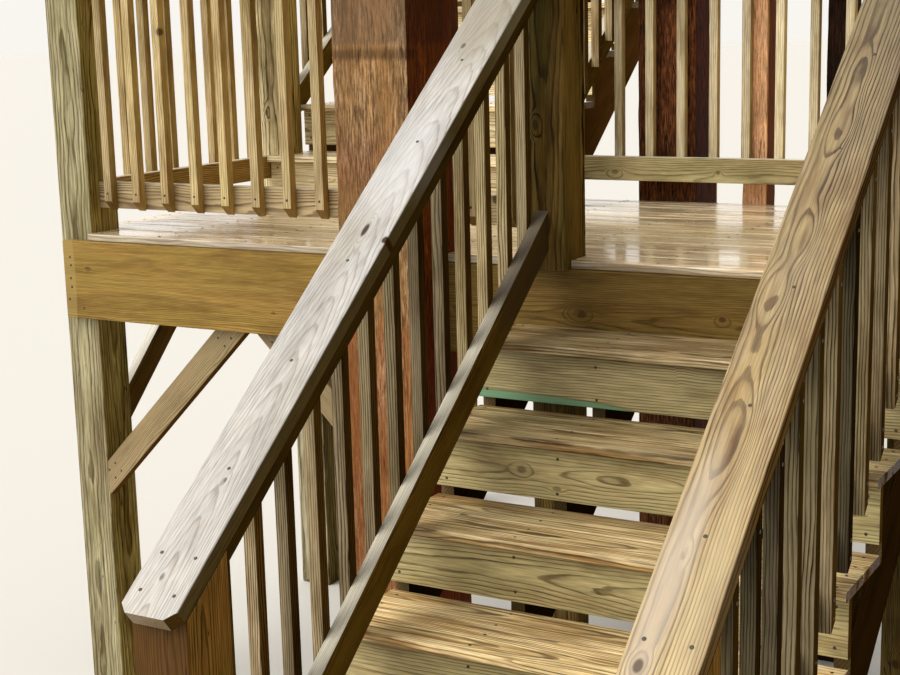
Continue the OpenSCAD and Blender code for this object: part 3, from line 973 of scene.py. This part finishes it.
# The foot newel's front carries a dark oval under the cap: partly damp wood and partly the cap's painted
# shadow.
FOOT_NEWEL = Plank(Cut(0.02, 0.03, 0.004, 0.004, 130.0), (), 0.5, 0.3, 0.0, (
    Stain(300, 96, 1200, 34, "#402609", 0.75, 0.8),))
BACK_RAIL = Plank(Cut(0.03, 0.05, 0.004, 0.004, 140.0), (
    Knot(-594, 12, 17, 11, 8, 0.55), Knot(-190, 8, 10, 8, 6, 0.6)), 0.5, 1.4)
FRONT_BOARD = Plank(Cut(0.02, -0.05, 0.004, 0.006, 150.0), (), 0.5, 0.3, 0.0, (
    Stain(0, -74, 9000, 9, "#78746a", 0.6, 0.7),))
FRONT_TIMBER = Plank(Cut(0.01, 0.0, 0.004, 0.004, 180.0), (), 1.12, 1.1, 0.0, (
    Stain(1760, 0, 960, 9000, "#54453a", 0.5, 0.97), Stain(790, 152, 26, 90, "#2c1c10", 0.55, 0.2),
    Stain(475, 152, 140, 90, "#7c3c30", 0.2, 0.1), Stain(-720, 0, 800, 9000, "#7e3a0a", 0.42, 0.85)))
# The dark big timber behind the landing, the slim one that the rain has not reached, and the soaked slim one.
BACK_TIMBERS = (
    Plank(Cut(0.0, 0.0, 0.004, 0.004, 190.0), (), 0.75, 0.5),
    Plank(Cut(0.0, 0.0, 0.004, 0.004, 200.0), (), 2.5, 2.0, 0.0, (
        Stain(0, 50, 9000, 8, "#815716", 0.85, 0.6),)),
    Plank(Cut(0.0, 0.0, 0.004, 0.004, 210.0), (), 0.1, 0.2))
# The front rail under the guard is a warmer board.
FRONT_RAIL = Plank(Cut(0.04, 0.07, 0.004, 0.004, 150.0), (), -0.4, -0.9)
# The left bottom rail is darker at its upper end by the head newel: partly damp wood and partly painted
# shade.
LEFT_BOTTOM_RAIL = Plank(Cut(0.05, 0.06, 0.003, 0.003, 150.0), (), 0.5, 0.5, 0.0, (
    Stain(960, 0, 400, 9000, "#46361e", 0.84, 0.6),))

TREAD = TreatedPine("tread_wood", "#dcc596", "#58482a", "#a89d6e", film=0.35, wet=0.32, dry=0.6, ring=6.0,
    contrast=0.95, knots=0.06, spread=0.2, damp_share=0.6, streak=0.3, relief=0.2, stripe=0.8, dirt="#b89a66")
RAIL = TreatedPine("rail_wood", "#a68f64", "#523d20", "#8a804f", ring=5.0, top_bleach_and_sheen=0.8, contrast=0.9,
    knots=0.05, damp_share=0.5, shelter_and_shade="#ac9a5c", bleached="#d8d4c4")
BALUSTER = TreatedPine("baluster_wood", "#d8c298", "#402a10", "#b0a26e", ring=4.5, contrast=1.0, knots=0.03,
    wander=5, gloss=0.14, spread=0.26, damp_share=0.6, streak=0.28, shelter_and_shade="#8c7446")
RISER = TreatedPine("riser_wood", "#b9aa7c", "#564524", "#9d9568", line=0.78, contrast=0.95, knots=0.06,
    cast_share=0.6, spread=0.14, streak=0.28, damp_share=0.5, planks=tuple(RISERS.values()))
POST = TreatedPine("post_wood", "#b8af8c", "#54461f", "#9e9870", line=0.74, contrast=1.0, cast_share=0.7,
    knots=0.06, damp_share=0.6, streak=0.4, checks=0.7, shelter_and_shade="#f8e6ac", stripe=0.4, dirt="#a48c60")
# This post finish is dark partly from wet wood and partly as painted shade at the flight's head.
SOAKED_AND_SHADED = TreatedPine("post_wet_shaded", "#765c28", "#1e1305", "#5a4e22", ring=4.6, contrast=1.0, cast_share=0.8,
    knots=0.03, damp_share=0.7, streak=0.36, wet=0.5, dry=0.7, checks=0.8, shelter_and_shade="#ffffff", spread=0.3,
    wander=8, gloss=0.12, planks=(HEAD_NEWEL,))
# The frame's faces turned from the open take a very dark colour: painted shade on the stringers' outer sides.
FRAME = TreatedPine("frame_wood", "#8f7a4f", "#4f3a1e", "#6c6340", spread=0.12, shelter_and_shade="#54442e")
BRACE = TreatedPine("brace_wood", "#b0a27c", "#5c4a2a", "#908a6a", ring=4.5, contrast=0.85, top_bleach_and_sheen=0.95,
    knots=0.04, bleached="#efece2", shelter_and_shade="#a08250")

FINISHES = (
    TREAD, RAIL, BALUSTER, POST, SOAKED_AND_SHADED, BRACE, RISER, FRAME,
    # The upper flight's treads and risers are lighter copies: painted light standing for the open sky over
    # them.
    replace(TREAD, name="tread_upper", early="#f2e6c8", late="#6e5c3c", cast="#d8cfae", dirt="#dccdac"),
    replace(RISER, name="riser_upper", early="#dccfaa", late="#705c3a", cast="#c8c09a"),
    # The sub rails take a darker colour on faces turned from the open: painted shade under the caps.
    replace(RAIL, name="rail_under_cap_shaded", shelter_and_shade="#766842"),
    replace(RAIL, name="rail_low", planks=(LEFT_BOTTOM_RAIL,)),
    replace(RAIL, name="rail_open", early="#d0b88c", cast="#b1ac7c", shelter_and_shade="#d8c494", bleached="#dcd6c0",
        planks=(BACK_RAIL,)),
    replace(BALUSTER, name="baluster_open", early="#c6b188", late="#755a30", contrast=0.8, shelter_and_shade="#f4e4bc"),
    replace(BALUSTER, name="baluster_pale", early="#d4c8aa", late="#84704c", cast="#bcb490", contrast=0.8,
        shelter_and_shade="#f4e4bc"),
    replace(POST, name="post_open", early="#dcd4b2", shelter_and_shade="#b0a078"),
    # The foot newel's darker copy stands partly for damp wood and partly for painted shade under the cap.
    replace(SOAKED_AND_SHADED, name="post_foot_shaded", early="#8c642e", late="#2e1e0a", cast="#745a26", damp_share=0.4,
        spread=0.2, planks=(FOOT_NEWEL,)),
    replace(BRACE, name="brace_damp", early="#988460", cast="#877c5c", top_bleach_and_sheen=0.25, bleached="#8c846c"),
    # The upper flight's frame takes a lighter painted shade on its faces turned from the open.
    replace(FRAME, name="frame_open", shelter_and_shade="#b08c64"),
    TreatedPine("rim_wood", "#a38344", "#5c4418", "#94803e", ring=4.0, line=0.76, contrast=0.85, knots=0.04,
        wander=8, damp_share=0.4, spread=0.15, streak=0.24, shelter_and_shade="#a58a4e", stripe=0.25, dirt="#b48c50",
        gloss=0.12, planks=tuple(RIMS.values())),
    # The left cap's pale grey is partly weathered wood and partly a painted sheen of the sky on its wet top.
    TreatedPine("bleached_cap", "#bab6b0", "#7a6c5a", "#aaaaac", damp="#a8a294", end="#dcc49a", ring=4.8,
        line=0.78, contrast=0.62, cast_share=0.6, damp_share=0.4, knots=0.0, wander=5, wet=0.35, dry=0.6,
        shelter_and_shade="#7d6b40", planks=(LEFT_CAP,)),
    TreatedPine("tan_cap", "#ccb27e", "#4a2e12", "#b8a488", damp="#b89878", ring=5.6, contrast=0.95,
        knots=0.0, cast_share=0.7, damp_share=0.6, wander=10, wet=0.4, dry=0.65, streak=0.26,
        planks=(RIGHT_CAP,)),
    TreatedPine("deck_wood", "#f8e8c6", "#94703c", "#ece0c0", film=1.0, gloss=0.5, wet=0.2, dry=0.42,
        ring=5.5, contrast=0.85, knots=0.04, stripe=0.75, dirt="#ccaa78", relief=0.2, planks=(FRONT_BOARD,)),
    RoughTimber("timber_brown", "#a68865", "#4a3018", "#8c6840", shelter_and_shade="#c8842c", planks=(FRONT_TIMBER,)),
    RoughTimber("timber_dark", "#84502c", "#30160a", "#a47f60", shelter_and_shade="#c89a74", check_share=1.0,
        planks=BACK_TIMBERS),
)

# The ways of dressing that several nodes share.
FRAMING = Dressing(Sawing.FLAT, 4.0, 2, 0.8)
CAP = Dressing(Sawing.FLAT, 4.0, 3, 1.0)
POST_CUT = Dressing(Sawing.HEART, 5.0, 3, 0.8, 0.5)
NEWEL = Dressing(Sawing.HEART, 4.0, 2, 0.5, 0.5)
RAILING = Dressing(Sawing.RIFT, 3.0, 2, 0.8)
PICKET = Dressing(Sawing.RIFT, 2.5, 2, 1.6, 0.2)


@dataclass
class Flight:
    """A straight flight between sloped railings. Sizes are in millimetres, the caps' nails in metres."""

    name: str
    caps: tuple[tuple[str, str, Mapping[int, Plank]], ...]
    newels: tuple[tuple[str, Dressing], ...]
    treads: Mapping[int, Plank] = field(default_factory=dict)
    risers: Mapping[int, Plank] = field(default_factory=dict)
    step_lift: float = 0.0
    step_finishes: tuple[str, str, str] = ("", "", "")
    baluster_lift: tuple[float, float] = (0.0, 0.0)
    bottom_rails: Mapping[int, Plank] = field(default_factory=dict)
    nail_edge: float = 26.0
    inner_nails: float = 356.0
    nail_slip: tuple[float, float] = (6.0, 5.0)
    cap_pairs: tuple[float, ...] = (0.055, 0.145)
    cap_singles: tuple[float, ...] = (0.365, 0.664, 0.968, 1.372, 1.68, 1.98)
    cap_nail_sides: tuple[float, float] = (-0.043, 0.042)
    cap_end: float = 0.1
    tread_nail_side: float = 38.0
    riser_nail_side: float = 46.0
    baluster_nails: tuple[float, ...] = (30.0, 72.0)
    head_crook: float = 0.4

    def steps(self, yard: Yard) -> None:
        """Lays the treads and risers and nails them to the four stringers."""
        nails = Nails(f"{self.name}_step_nails")
        treads = yard.dress(f"{self.name}_treads", "tread_wood", Dressing(Sawing.FLAT, 5.0, 3, 0.8,
            planks=self.treads, lift=self.step_lift, finish=self.step_finishes[0]))
        risers = yard.dress(f"{self.name}_risers", "riser_wood", Dressing(Sawing.FLAT, 4.0, 2, 0.6,
            planks=self.risers, lift=self.step_lift, finish=self.step_finishes[1]))
        yard.dress(f"{self.name}_stringers", "frame_wood",
            Dressing(Sawing.FLAT, 3.0, 2, 0.0, 9.0, finish=self.step_finishes[2]))
        edge, inner = self.nail_edge * MM, self.inner_nails * MM
        for sticks, face, side in ((treads, Z, self.tread_nail_side), (risers, -Y, self.riser_nail_side)):
            for stick in sticks:
                reach = stick.nail_line(side)
                for run in (edge, inner, -inner, -edge):
                    for across in (-reach, reach):
                        slip = Vector([yard.draw.uniform(-most, most) for most in self.nail_slip]) * MM
                        slid = run + math.copysign(slip.x, run)
                        nails.drive(stick.surface(face, slid, across + slip.y), face)
        nails.build(yard.zinc)

    def railings(self, yard: Yard) -> None:
        """Puts up the newels, rails, caps and balusters of both sides."""
        for node, dressing in self.newels:
            yard.dress(node, "post_wood", dressing)
        yard.dress(f"{self.name}_sub_rails", "rail_wood", replace(RAILING, finish="rail_under_cap_shaded"))
        yard.dress(f"{self.name}_bottom_rails", "rail_wood",
            replace(RAILING, planks=self.bottom_rails, finish="rail_low" if self.bottom_rails else ""))
        nails = Nails(f"{self.name}_rail_nails")
        ends = [n * MM * way for way in (1, -1) for n in self.baluster_nails]
        for side, face, lift in (("left", -X, self.baluster_lift[0]), ("right", X, self.baluster_lift[1])):
            sticks = yard.dress(f"{self.name}_{side}_balusters", "baluster_wood", replace(PICKET, lift=lift))
            nails.row(sticks, face, ends, (0.0,))
        for node, finish, planks in self.caps:
            for stick in yard.dress(node, finish, replace(CAP, planks=planks)):
                nails.row([stick], stick.thin, self.cap_pairs, self.cap_nail_sides)
                for run in self.cap_singles:
                    if run < stick.size.x - self.cap_end:
                        nails.row([stick], stick.thin, (run,), (yard.draw.uniform(-4, 4) * MM,))
        nails.build(yard.zinc)

    def head(self, yard: Yard) -> None:
        """Fits the two beams at the flight's head and the board over them."""
        yard.dress(f"{self.name}_beams", "rim_wood", replace(FRAMING, crook=self.head_crook))
        yard.dress(f"{self.name}_edge_board", "deck_wood", Dressing(Sawing.FLAT, 5.0, 3, self.head_crook))


@dataclass
class Landing:
    """The deck, its frame, posts and braces. Sizes are in millimetres, the braces' nails in metres."""

    nail_side: float = 42.0
    board_end: float = 40.0
    joist_clear: float = 30.0
    rim_nails: tuple[tuple[float, float], ...] = (
        (29, -78), (31, -50), (27, -5), (29, 26), (15, 69), (77, 97))
    brace_nails: tuple[float, ...] = (0.07, 0.11, -0.07, -0.11)
    brace_nail_sides: tuple[float, float] = (-0.018, 0.018)

    def frame_work(self, yard: Yard) -> None:
        """Sets the posts, rims, joists and braces."""
        nails = Nails("landing_frame_nails")
        rim = yard.dress("front_rim", "rim_wood", replace(FRAMING, planks=RIMS))
        for node in ("back_rim", "left_rim", "right_rim"):
            yard.dress(node, "rim_wood", FRAMING)
        yard.dress("joists", "frame_wood", replace(FRAMING, radius=3.0))
        for node, finish, lift in (("left_front_post", "", 0.0), ("back_left_post", "post_open", -0.8),
                ("back_right_post", "post_open", 0.0)):
            yard.dress(node, "post_wood", replace(POST_CUT, finish=finish, lift=lift))
        braces = replace(RAILING, crook=0.4)
        front = yard.dress("front_braces", "brace_wood", replace(braces, finish="brace_damp"))
        yard.dress("side_braces", "brace_wood", braces)
        for along, down in self.rim_nails:
            nails.drive(rim[0].surface(-Y, along * MM, -down * MM), -Y)
        nails.row(front, -Y, self.brace_nails, self.brace_nail_sides)
        nails.build(yard.zinc)

    def deck(self, yard: Yard) -> None:
        """Lays the deck boards and nails them to every joist."""
        nails = Nails("deck_nails")
        joists = [s.place(s.middle).x for s in sticks_of("joists")]
        end, clear = self.board_end * MM, self.joist_clear * MM
        for board in yard.dress("deck_boards", "deck_wood",
                Dressing(Sawing.FLAT, 5.0, 3, 0.9, 0.35, planks={10: FRONT_BOARD})):
            reach, length = board.nail_line(self.nail_side), board.size.x
            runs = [x - board.low.x for x in joists if clear < x - board.low.x < length - clear]
            for run in [end, *runs, length - end]:
                for across in (-reach, reach):
                    nails.drive(board.surface(Z, run, across), Z)
        nails.build(yard.zinc)


@dataclass
class Guards:
    """The level railings round the landing. Sizes are in millimetres."""

    nails_at: tuple[float, ...] = (58.0, -45.0)
    rails: Mapping[int, Plank] = field(default_factory=lambda: {1: FRONT_RAIL, 3: BACK_RAIL})

    def put_up(self, yard: Yard) -> None:
        """Fits the rails, caps and balusters."""
        rail = replace(RAILING, crook=0.6, finish="rail_open")
        yard.dress("guard_bottom_rails", "rail_wood", replace(rail, planks=self.rails))
        yard.dress("guard_sub_rails", "rail_wood", rail)
        yard.dress("guard_caps", "tan_cap", replace(CAP, crook=0.0))
        nails = Nails("guard_nails")
        near = replace(PICKET, finish="baluster_open")
        far = replace(PICKET, finish="baluster_pale", lift=0.3)
        for side, face, cut in (("front", -Y, near), ("left", -X, near), ("right", X, near),
                ("back", Y, far)):
            sticks = yard.dress(f"{side}_guard_balusters", "baluster_wood", cut)
            nails.row(sticks, face, [n * MM for n in self.nails_at], (0.0,))
        nails.build(yard.zinc)


@dataclass
class Timbers:
    """The big rough-sawn timbers that stand through the landing, with sizes in millimetres.

    The tearing changes as many times in a metre along them and across them as torn says.
    """

    grid: float = 14.0
    bite: float = 2.6
    wane: float = 3.0
    least_wane: float = 0.35
    torn: tuple[float, float] = (14.0, 90.0)
    rim: float = 0.999
    stands: tuple[tuple[str, str, tuple[Plank, ...]], ...] = (
        ("big_front_post", "timber_brown", (FRONT_TIMBER,)), ("back_posts", "timber_dark", BACK_TIMBERS))

    def stand(self, yard: Yard) -> None:
        """Stands the front timber and the three behind the landing."""
        for node, slot, looks in self.stands:
            lumber = Lumber(f"{node}_wood")
            for stick, look in zip(sticks_of(node), looks):
                self.rough(stick, yard.draw)
                lumber.take(stick, look)
            yard.stand_in(lumber, node, slot, slot)

    def rough(self, stick: Stick, draw: random.Random) -> None:
        """Roughens a timber: torn faces and broken, waney arrises.

        Args:
            stick: the timber, whose mesh is replaced.
            draw: the seeded generator.
        """
        middle, half, seed = stick.middle, stick.size / 2, draw.uniform(0, 900)
        wide, thin = [max(4, round(2 * h / MM / self.grid)) for h in (half.y, half.z)]
        loop: list[tuple[float, float]] = []
        for (u0, v0), (u1, v1), count in (((-1, -1), (1, -1), wide), ((1, -1), (1, 1), thin),
                ((1, 1), (-1, 1), wide), ((-1, 1), (-1, -1), thin)):
            loop += [(u0 + (u1 - u0) * i / count, v0 + (v1 - v0) * i / count) for i in range(count)]
        rows = round(stick.size.x / MM / self.grid)
        along, across = self.torn
        mesh = bmesh.new()
        rings = []
        for row in range(rows + 1):
            run = stick.low.x + stick.size.x * row / rows
            ring = []
            for u, v in loop:
                spot = Vector((run, middle.y + u * half.y, middle.z + v * half.z))
                torn = noise.noise(Vector((run * along, spot.y * across + seed, spot.z * across)))
                ragged = torn * 0.5 + 0.5
                corner = abs(u) * abs(v) > self.rim
                bite = self.bite * ragged + (self.wane * (self.least_wane + ragged) if corner else 0.0)
                inward = Vector((0, -u * (abs(u) > self.rim), -v * (abs(v) > self.rim)))
                if corner:
                    inward = inward.normalized()
                ring.append(mesh.verts.new(stick.place(spot + inward * bite * MM)))
            rings.append(ring)
        for lower, upper in zip(rings, rings[1:]):
            for i in range(len(loop)):
                j = (i + 1) % len(loop)
                mesh.faces.new((lower[i], lower[j], upper[j], upper[i]))
        mesh.faces.new(rings[-1])
        mesh.faces.new(rings[0][::-1])
        bmesh.ops.recalc_face_normals(mesh, faces=mesh.faces[:])
        stick.mesh.free()
        stick.mesh = mesh


@dataclass
class Studio:
    """The camera at the photograph's viewing angle, a pale floor and soft lights. Sizes are in metres."""

    eye: Vector = field(default_factory=lambda: Vector((2.3580, -4.3872, 2.3740)))
    yaw: float = math.radians(29.765)
    pitch: float = math.radians(11.181)
    roll: float = math.radians(1.472)
    lens: float = 63.084
    sensor: float = 36.0
    sight: float = 500.0
    floor_reach: float = 150.0
    floor_colour: str = "#c9c7c3"
    sky_colour: str = "#f9f6f0"
    key_colour: str = "#fffaf2"
    key: float = 2.2
    key_from: Vector = field(default_factory=lambda: Vector((-0.45, -0.55, 0.70)))
    horizon: float = 1.0
    zenith: float = 1.55

    def camera(self) -> None:
        """Creates the camera and makes it the scene's."""
        ahead = Vector((-math.sin(self.yaw) * math.cos(self.pitch), math.cos(self.yaw) * math.cos(self.pitch),
            -math.sin(self.pitch)))
        level = Vector((math.cos(self.yaw), math.sin(self.yaw), 0))
        down = ahead.cross(level)
        right = math.cos(self.roll) * level + math.sin(self.roll) * down
        under = math.cos(self.roll) * down - math.sin(self.roll) * level
        data = bpy.data.cameras.new("camera")
        data.lens, data.sensor_width, data.sensor_fit = self.lens, self.sensor, "HORIZONTAL"
        data.clip_end = self.sight
        made = linked("camera", data)
        turned = Matrix((right, -under, -ahead)).transposed().to_4x4()
        made.matrix_world = Matrix.Translation(self.eye) @ turned
        bpy.context.scene.camera = made

    def floor(self) -> None:
        """Lays a wide pale floor at the model's foot."""
        paint = bpy.data.materials.new("studio_floor")
        paint.use_nodes = True
        shader = paint.node_tree.nodes["Principled BSDF"]
        shader.inputs["Base Color"].default_value = linear(self.floor_colour)
        shader.inputs["Roughness"].default_value = 0.9
        corners = [(x * self.floor_reach, y * self.floor_reach, 0)
            for x, y in ((-1, -1), (1, -1), (1, 1), (-1, 1))]
        mesh = bpy.data.meshes.new("studio_floor")
        mesh.from_pydata(corners, [], [(0, 1, 2, 3)])
        mesh.materials.append(paint)
        made = linked("studio_floor", mesh)

    def lights(self) -> None:
        """Sets a sky, bright on the left, behind and near the horizon, and a wide key from the front left."""
        world = bpy.data.worlds.new("studio")
        world.use_nodes = True
        add = Recipe(world.node_tree).add
        way = add("SeparateXYZ", (add("TexCoord").outputs["Generated"],)).outputs
        side = add("MapRange", (way[0], 0.65, -0.15, 0.25, 1.0), "SMOOTHSTEP")
        haze = add("MapRange", (way[2], 0.16, 0.04), "SMOOTHSTEP")
        open_side = add("Math", (side, haze), "MAXIMUM")
        height = add("MapRange", (way[2], 0.01, 0.35, self.horizon, self.zenith), "SMOOTHSTEP")
        power = add("Math", (open_side, height), "MULTIPLY")
        add("OutputWorld", (add("Background", (self.sky_colour, power)),))
        bpy.context.scene.world = world
        data = bpy.data.lights.new("key", "SUN")
        data.angle, data.energy, data.color = math.radians(50), self.key, linear(self.key_colour)[:3]
        linked("key", data).rotation_euler = self.key_from.to_track_quat("Z", "Y").to_euler()

    def set_up(self) -> None:
        """Puts up the whole studio."""
        self.camera()
        self.floor()
        self.lights()
        bpy.context.scene.view_settings.view_transform = "Standard"


def main() -> None:
    """Builds every sub-assembly in order."""
    logging.basicConfig(level=logging.INFO, format="%(name)s: %(message)s")
    Studio().set_up()
    yard = Yard()
    # The lower flight's balusters are toned darker, the right ones most as painted shade under the right cap.
    lower = Flight("lower",
        (("lower_left_cap", "bleached_cap", {0: LEFT_CAP}), ("lower_right_cap", "tan_cap", {0: RIGHT_CAP})),
        (("lower_foot_newels", replace(NEWEL, planks={0: FOOT_NEWEL}, finish="post_foot_shaded", thin=X)),
            ("lower_head_newels", replace(NEWEL, planks={0: HEAD_NEWEL}, finish="post_wet_shaded"))),
        TREADS, RISERS, baluster_lift=(-0.85, -1.15), bottom_rails={0: LEFT_BOTTOM_RAIL})
    # The upper flight's steps and newels are lifted lighter: painted light for the open sky over that flight.
    upper = Flight("upper", (("upper_caps", "tan_cap", {}),),
        (("upper_foot_newels", replace(NEWEL, finish="post_open", lift=2.9)),
            ("upper_head_posts", replace(NEWEL, finish="post_open", lift=0.8))),
        step_lift=1.0, step_finishes=("tread_upper", "riser_upper", "frame_open"))
    landing = Landing()
    stages: tuple[tuple[str, Callable[[Yard], None]], ...] = (
        ("lower steps", lower.steps), ("lower railings", lower.railings),
        ("landing frame", landing.frame_work), ("landing deck", landing.deck), ("guards", Guards().put_up),
        ("timbers", Timbers().stand), ("upper steps", upper.steps), ("upper railings", upper.railings),
        ("upper head", upper.head))
    for name, build in stages:
        build(yard)
        LOG.info("%s done", name)


if __name__ == "__main__":
    main()
